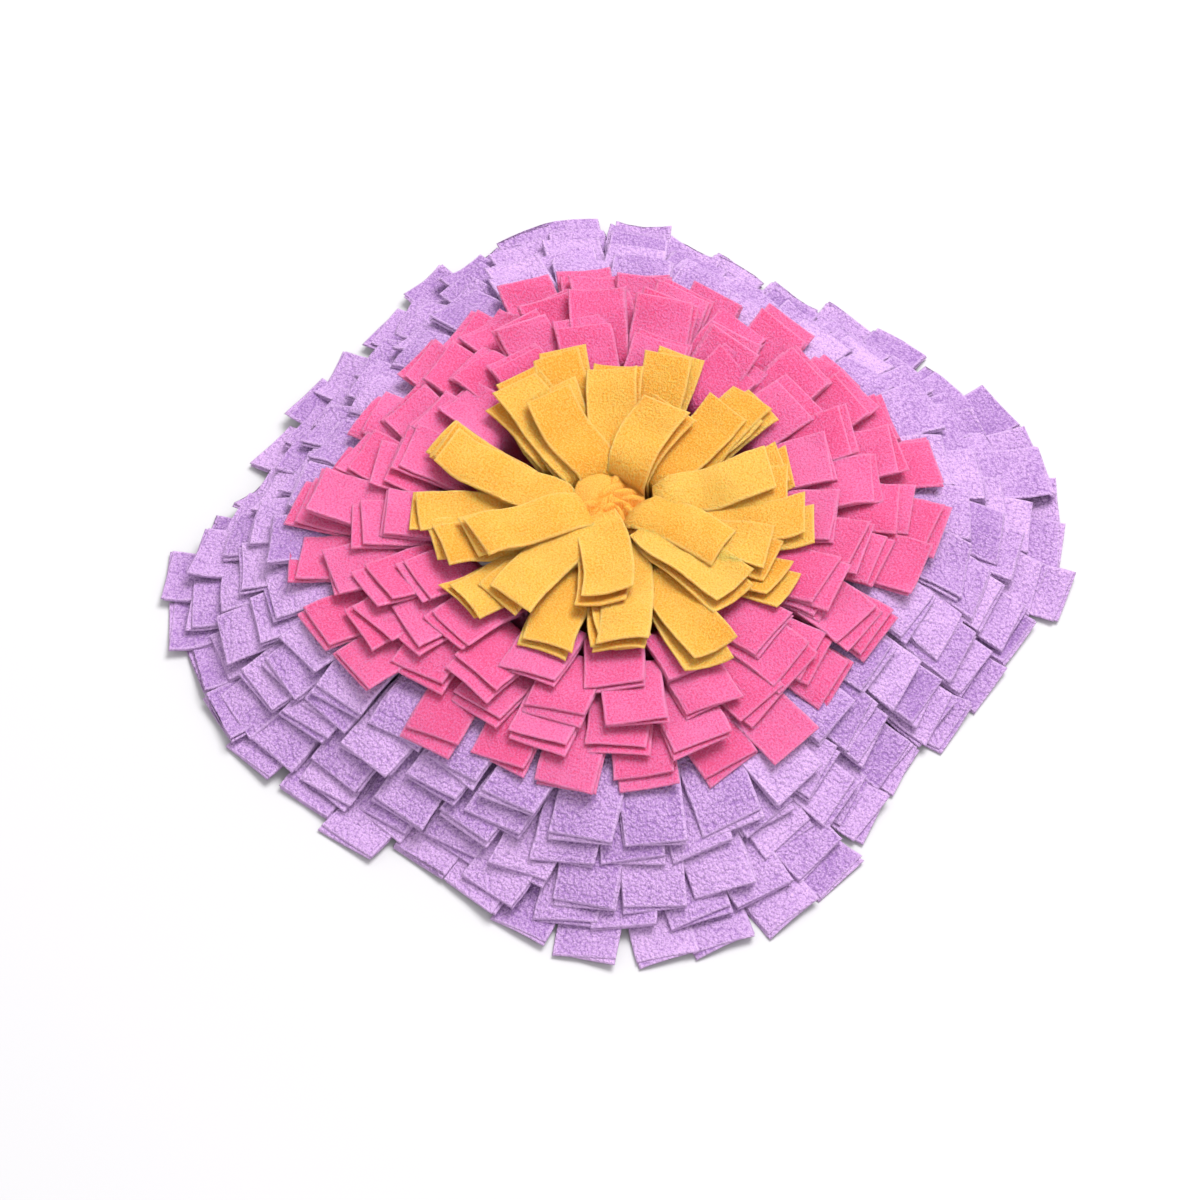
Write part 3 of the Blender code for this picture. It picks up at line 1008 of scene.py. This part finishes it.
def fleece_piece(name, colour, plies, line):
    """One ring as a finished piece that stands for its solid."""
    settings = bpy.context.scene.snuffle_fleece
    tree = bpy.data.node_groups.get("fleece_strips") or strip_tree()
    heading = [Vector((*point, FOOT + HEADING_HEIGHT / 2)) for point in line]
    item = baked(name, guide_object(name + "_guides", plies, [heading]), tree, {
        "Ply Thickness": settings.ply_thickness,
        "Edge Wobble": settings.edge_wobble,
        "Wave Height": settings.wave_height,
        "Wave Length": settings.wave_length,
        "Root Shade": HABITS[colour].root_shade,
        "Heading Height": HEADING_HEIGHT,
        "Heading Width": FLEECE,
        "Fleece": fleece(colour),
    })
    item.name = name + "_strips"
    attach(item, "root")
    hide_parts(name)


def ring_pieces(colour):
    """The rounded-square rings of one colour."""
    for layer, ring in enumerate(RINGS):
        if ring.colour == colour:
            strips = ring_strips(ring, random.Random(STRIP_CHANCE + layer))
            chance = random.Random(PLY_CHANCE + layer)
            plies = []
            for strip in strips:
                plies += ring_strip_plies(strip, layer, colour, chance)
            fleece_piece(ring.name, colour, plies, heading_line(ring))


# The knot is cloth gathered into rounded lobes that meet in creases: the middle of each, the
# way it lies, its half-sizes and its top.
Lobe = namedtuple("Lobe", "x y turn long wide top")
KNOT_LOBES = (
    (-0.0190, 0.0005, 152, 0.0190, 0.0120, 0.0650),
    (-0.0083, 0.0013, 84, 0.0105, 0.0030, 0.0648),
    (-0.0025, 0.0072, 55, 0.0080, 0.0027, 0.0628),
    (0.0045, 0.0081, 40, 0.0070, 0.0028, 0.0618),
    (0.0026, 0.0012, 20, 0.0060, 0.0022, 0.0630),
    (-0.0026, -0.0067, 70, 0.0070, 0.0026, 0.0636),
    (-0.0029, -0.0127, 95, 0.0070, 0.0030, 0.0628),
    (0.0070, -0.0092, 125, 0.0085, 0.0028, 0.0622),
    (-0.0112, -0.0109, 50, 0.0100, 0.0034, 0.0644),
    (0.0085, 0.0002, 165, 0.0080, 0.0026, 0.0622),
    (0.0048, -0.0042, 145, 0.0060, 0.0020, 0.0628),
    (-0.0100, 0.0125, 110, 0.0080, 0.0034, 0.0620),
    (-0.0040, -0.0008, 110, 0.0050, 0.0016, 0.0640),
)
LOBE_DROP = 0.0040          # from a lobe's top to its half-size
LOBE_SOFTNESS = 0.00022     # roundness of the creases
CREASE_PAINTED_SHADE_REACH = 0.0004       # how far up from a crease its painted shade reaches
KNOT_RADIUS = 0.0200
KNOT_FLOOR = 0.0560         # lowest that its top lies
KNOT_AROUND, KNOT_STEPS = 96, 26
KNOT_SKIRT = ((0.003, 1.03), (0.010, 1.00), (0.022, 0.86), (1.0, 0.70))   # drop, share
# The knot's own tone, and how much painted shade darkens its creases.
KNOT_TINT, CREASE_PAINTED_SHADE = 0.6, 2.4


def knot_height(spot):
    """Height of the gathered cloth over a spot, the highest of the lobes there, and how much
    the spot lies in a crease between two of them."""
    heights = [KNOT_FLOOR]
    for lobe in map(Lobe._make, KNOT_LOBES):
        away = spot - Vector((lobe.x, lobe.y))
        along = away.dot(on_circle(lobe.turn, 1.0)) / lobe.long
        across = away.dot(on_circle(lobe.turn + 90, 1.0)) / lobe.wide
        heights.append(lobe.top - LOBE_DROP * (along ** 2 + across ** 2))
    heights.sort()
    highest = heights[-1]
    rest = sum(math.exp((height - highest) / LOBE_SOFTNESS) for height in heights)
    crease = math.exp((heights[-2] - highest) / CREASE_PAINTED_SHADE_REACH)
    return highest + LOBE_SOFTNESS * math.log(rest), crease


def gathered_knot():
    """Closed lump of gathered fleece that fills the flower's middle."""
    middle = Vector((FLOWER[-1].aside, 0.0))
    rings, tones_and_painted_shade = [], []
    levels = [(None, (step + 1) / KNOT_STEPS) for step in range(KNOT_STEPS)]
    for drop, share in (*levels, *KNOT_SKIRT):
        ring = []
        for turn in range(KNOT_AROUND):
            spot = middle + on_circle(360 * turn / KNOT_AROUND, KNOT_RADIUS * share)
            height, crease = knot_height(spot)
            if drop is not None:
                height = max(FOOT, KNOT_FLOOR - drop)
            ring.append((*spot, height))
            # Painted shade in the creases between the lobes.
            tones_and_painted_shade.append(KNOT_TINT - CREASE_PAINTED_SHADE * crease)
        rings.append(ring)
    mesh = closed_mesh("centre_knot", rings)
    cloth = mesh.uv_layers.new(name="UVMap").data
    for loop in mesh.loops:
        spot = mesh.vertices[loop.vertex_index].co
        cloth[loop.index].uv = spot.xy + spot.xy.normalized() * max(0.0, KNOT_FLOOR - spot.z)
    store_on(mesh, "edge", [FAR_FROM_EDGE] * len(tones_and_painted_shade))
    store_on(mesh, "tint", tones_and_painted_shade)
    mesh.materials.append(fleece("yellow", "knot"))
    item = placed("centre_knot", mesh)
    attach(item, "root")
    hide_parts("centre_coil")


def flower_pieces():
    """The three rings of petals."""
    for layer, ring in enumerate(FLOWER, start=len(RINGS)):
        chance = random.Random(PETAL_CHANCE + layer)
        plies = []
        for number, petal in enumerate(map(Petal._make, ring.petals)):
            strip = petal_strip(ring, petal, chance)
            plies += petal_plies(number, petal, strip, layer, ring, chance)
        fleece_piece(ring.name, "yellow", plies, heading_line(ring))


def seam_stitches():
    """Rows of stitches under the rings' headings, half sunk in the base sheet."""
    spots, edges = [], []
    for ring in RINGS + FLOWER:
        line = [Vector((*spot, SEAM_HEIGHT)) for spot in heading_line(ring)]
        add_line(spots, edges, line, closed=True)
    mesh = bpy.data.meshes.new("seam_guides")
    mesh.from_pydata(spots, edges, [])
    item = baked("seam_stitches", placed("seam_guides", mesh), stitch_tree(), {
        "Stitch Pitch": bpy.context.scene.snuffle_backing.stitch_pitch,
        "Thread": backing(),
    })
    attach(item, "root")
    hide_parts("base_cloth")


def base_sheet():
    """The base cloth, with a list of all that is sewn on it."""
    core_x, core_y, radius = core_of(BASE_LEVEL)
    outline = []
    for quarter, (x, y) in enumerate(QUARTERS):
        for step in range(BASE_CORNER_STEPS + 1):
            spot = on_circle(90 * (quarter + step / BASE_CORNER_STEPS), radius)
            outline.append(Vector((x * core_x + spot.x, y * core_y + spot.y)))
    loops = [(share, SHEET_TOP) for share in SHEET_LOOPS]
    loops.append((1.0, (SHEET_UNDERSIDE + SHEET_TOP) / 2))
    loops += [(share, SHEET_UNDERSIDE) for share in reversed(SHEET_LOOPS)]
    rings = [[(*(spot * share), height) for spot in outline] for share, height in loops]
    mesh = closed_mesh("base_sheet", rings)
    mesh.materials.append(backing())
    cloth = placed("base_sheet", mesh)
    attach(cloth, "root")
    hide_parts("base_cloth")
    sewn_on = [item for item in bpy.data.objects if item.name.endswith("_strips")]
    sewn_on += [bpy.data.objects["centre_knot"], bpy.data.objects["seam_stitches"]]


# ---- Stage
FLOOR_HALF = 6.0
SENSOR_WIDTH = 36.0
CAMERA_SHIFT = (-0.0139, -0.0286)
SKY_STRENGTH = 0.82
Lamp = namedtuple("Lamp", "name spot size share")    # share of the key light's power
LAMPS = (
    Lamp("overhead_light", (0.20, 1.30, 2.87), 1.9, 1.0),
    Lamp("front_light", (1.8, -1.4, 2.4), 1.9, 0.11),
)


def set_stage(scene):
    """The pale floor, the soft lights and the camera."""
    settings = scene.snuffle_stage
    azimuth, elevation = math.radians(settings.azimuth), math.radians(settings.elevation)
    aim = Vector((
        math.sin(azimuth) * math.cos(elevation),
        -math.cos(azimuth) * math.cos(elevation),
        math.sin(elevation),
    ))
    camera = placed("camera", bpy.data.cameras.new("camera"))
    camera.location = aim * settings.distance
    camera.rotation_euler = aim.to_track_quat("Z", "Y").to_euler()
    camera.data.lens = settings.lens
    camera.data.sensor_width = SENSOR_WIDTH
    camera.data.shift_x, camera.data.shift_y = CAMERA_SHIFT
    scene.camera = camera

    mesh = bpy.data.meshes.new("floor")
    corners = [(x * FLOOR_HALF, y * FLOOR_HALF, 0.0) for x, y in QUARTERS]
    mesh.from_pydata(corners, [], [range(4)])
    material, m, shader = new_material("floor_paint")
    m.fill(shader, {
        "Base Color": (*settings.floor, 1.0),
        "Roughness": 0.9,
        "Specular IOR Level": 0.1,
    })
    mesh.materials.append(material)
    floor = placed("floor", mesh)

    for lamp in LAMPS:
        light = bpy.data.lights.new(lamp.name, "AREA")
        light.shape = "DISK"
        light.size = lamp.size
        light.energy = settings.key * lamp.share
        item = placed(lamp.name, light)
        item.location = lamp.spot
        item.rotation_euler = Vector(lamp.spot).to_track_quat("Z", "Y").to_euler()
    world = bpy.data.worlds.new("soft_room")
    world.use_nodes = True
    NodeMaker(world.node_tree).fill(world.node_tree.nodes["Background"], {
        "Color": (1.0, 1.0, 1.0, 1.0),
        "Strength": SKY_STRENGTH,
    })
    scene.world = world
    scene.view_settings.view_transform = "Standard"


# ---- What a user would change
LENGTH = {"subtype": "DISTANCE", "unit": "LENGTH"}


def setting(name, description, default, low, high, **kind):
    return bpy.props.FloatProperty(
        name=name, description=description, default=default, min=low, max=high, **kind
    )


def paint(name, description, default):
    return bpy.props.FloatVectorProperty(
        name=name, description=description, default=default, min=0.0, max=1.0, subtype="COLOR"
    )


class FleeceSettings(bpy.types.PropertyGroup):
    """Fleece of the strips."""

    ply_thickness: setting(
        "Ply thickness", "Thickness of one layer of fleece", 0.0017, 0.0005, 0.003, **LENGTH
    )
    wave_height: setting(
        "Wave height", "Depth of the soft waves in a strip", 0.0011, 0.0, 0.003, **LENGTH
    )
    wave_length: setting(
        "Wave length", "Size of the soft waves in a strip", 0.030, 0.005, 0.1, **LENGTH
    )
    edge_wobble: setting(
        "Cut wobble", "How unevenly the strips' sides are cut", 0.0011, 0.0, 0.003, **LENGTH
    )
    sheen: setting(
        "Sheen", "Soft light of the nap seen along the surface", 0.25, 0.0, 1.0,
        subtype="FACTOR",
    )
    lilac: paint("Lilac", "Colour of the outer rings", (0.690, 0.438, 0.775))
    pink: paint("Pink", "Colour of the middle rings", (0.895, 0.202, 0.430))
    yellow: paint("Yellow", "Colour of the flower", (0.895, 0.524, 0.118))


class BackingSettings(bpy.types.PropertyGroup):
    """Base cloth and the thread that holds the rings on it."""

    colour: paint("Backing", "Colour of the base cloth", (0.752, 0.730, 0.752))
    stitch_pitch: setting(
        "Stitch pitch", "From one stitch to the next", 0.005, 0.002, 0.02, **LENGTH
    )


class StageSettings(bpy.types.PropertyGroup):
    """Floor, lights and camera."""

    floor: paint("Floor", "Colour of the floor", (0.56, 0.552, 0.564))
    azimuth: setting(
        "Azimuth", "Bearing of the camera round the mat, in degrees", 35.7, -360.0, 360.0
    )
    elevation: setting(
        "Elevation", "Height of the camera over the horizon, in degrees", 54.6, 0.0, 90.0
    )
    distance: setting(
        "Distance", "From the camera to the middle of the mat", 2.1018, 0.2, 10.0, **LENGTH
    )
    lens: setting("Lens", "Focal length, in millimetres", 110.3, 10.0, 400.0)
    key: setting(
        "Key light", "Strength of the large overhead light, in watts", 121.5, 0.0, 1000.0
    )


# ---- Operators
class SNUFFLE_OT_stage(bpy.types.Operator):
    """Makes the pale floor, the soft lights and the camera."""

    bl_idname = "snuffle_mat.stage"
    bl_label = "Stage"

    def execute(self, context):
        set_stage(context.scene)
        return {"FINISHED"}


class SNUFFLE_OT_lilac_rings(bpy.types.Operator):
    """Makes the five outer rings of lilac strips."""

    bl_idname = "snuffle_mat.lilac_rings"
    bl_label = "Lilac rings"

    def execute(self, context):
        ring_pieces("lilac")
        return {"FINISHED"}


class SNUFFLE_OT_pink_rings(bpy.types.Operator):
    """Makes the four middle rings of pink strips."""

    bl_idname = "snuffle_mat.pink_rings"
    bl_label = "Pink rings"

    def execute(self, context):
        ring_pieces("pink")
        return {"FINISHED"}


class SNUFFLE_OT_flower(bpy.types.Operator):
    """Makes the three rings of the loose yellow flower."""

    bl_idname = "snuffle_mat.flower"
    bl_label = "Flower"

    def execute(self, context):
        flower_pieces()
        return {"FINISHED"}


class SNUFFLE_OT_flower_centre(bpy.types.Operator):
    """Makes the gathered knot in the middle of the flower."""

    bl_idname = "snuffle_mat.flower_centre"
    bl_label = "Flower centre"

    def execute(self, context):
        gathered_knot()
        return {"FINISHED"}


class SNUFFLE_OT_seams(bpy.types.Operator):
    """Makes the rows of stitches that hold the rings, on the underside."""

    bl_idname = "snuffle_mat.seams"
    bl_label = "Seams"

    def execute(self, context):
        seam_stitches()
        return {"FINISHED"}


class SNUFFLE_OT_base_cloth(bpy.types.Operator):
    bl_idname = "snuffle_mat.base_cloth"
    bl_label = "Base cloth"

    def execute(self, context):
        base_sheet()
        return {"FINISHED"}


class SNUFFLE_PT_panel(bpy.types.Panel):
    """Lists the mat's settings and pieces."""

    bl_idname = "SNUFFLE_PT_panel"
    bl_label = "Snuffle mat"
    bl_space_type = "VIEW_3D"
    bl_region_type = "UI"
    bl_category = "Snuffle mat"

    def draw(self, context):
        layout = self.layout
        for group, _ in SETTINGS:
            settings = getattr(context.scene, group)
            for name in settings.bl_rna.properties.keys():
                if name not in ("rna_type", "name"):
                    layout.prop(settings, name)
        for operator in OPERATORS:
            layout.operator(operator.bl_idname)


SETTINGS = (
    ("snuffle_fleece", FleeceSettings),
    ("snuffle_backing", BackingSettings),
    ("snuffle_stage", StageSettings),
)
OPERATORS = (
    SNUFFLE_OT_stage,
    SNUFFLE_OT_lilac_rings,
    SNUFFLE_OT_pink_rings,
    SNUFFLE_OT_flower,
    SNUFFLE_OT_flower_centre,
    SNUFFLE_OT_seams,
    SNUFFLE_OT_base_cloth,
)


def register():
    for name, group in SETTINGS:
        bpy.utils.register_class(group)
        setattr(bpy.types.Scene, name, bpy.props.PointerProperty(type=group))
    for item in (*OPERATORS, SNUFFLE_PT_panel):
        bpy.utils.register_class(item)


def unregister():
    for item in (SNUFFLE_PT_panel, *reversed(OPERATORS)):
        bpy.utils.unregister_class(item)
    for name, group in reversed(SETTINGS):
        delattr(bpy.types.Scene, name)
        bpy.utils.unregister_class(group)


def main():
    register()
    bpy.ops.snuffle_mat.stage()
    bpy.ops.snuffle_mat.lilac_rings()
    bpy.ops.snuffle_mat.pink_rings()
    bpy.ops.snuffle_mat.flower()
    bpy.ops.snuffle_mat.flower_centre()
    bpy.ops.snuffle_mat.seams()
    bpy.ops.snuffle_mat.base_cloth()


if __name__ == "__main__":
    main()
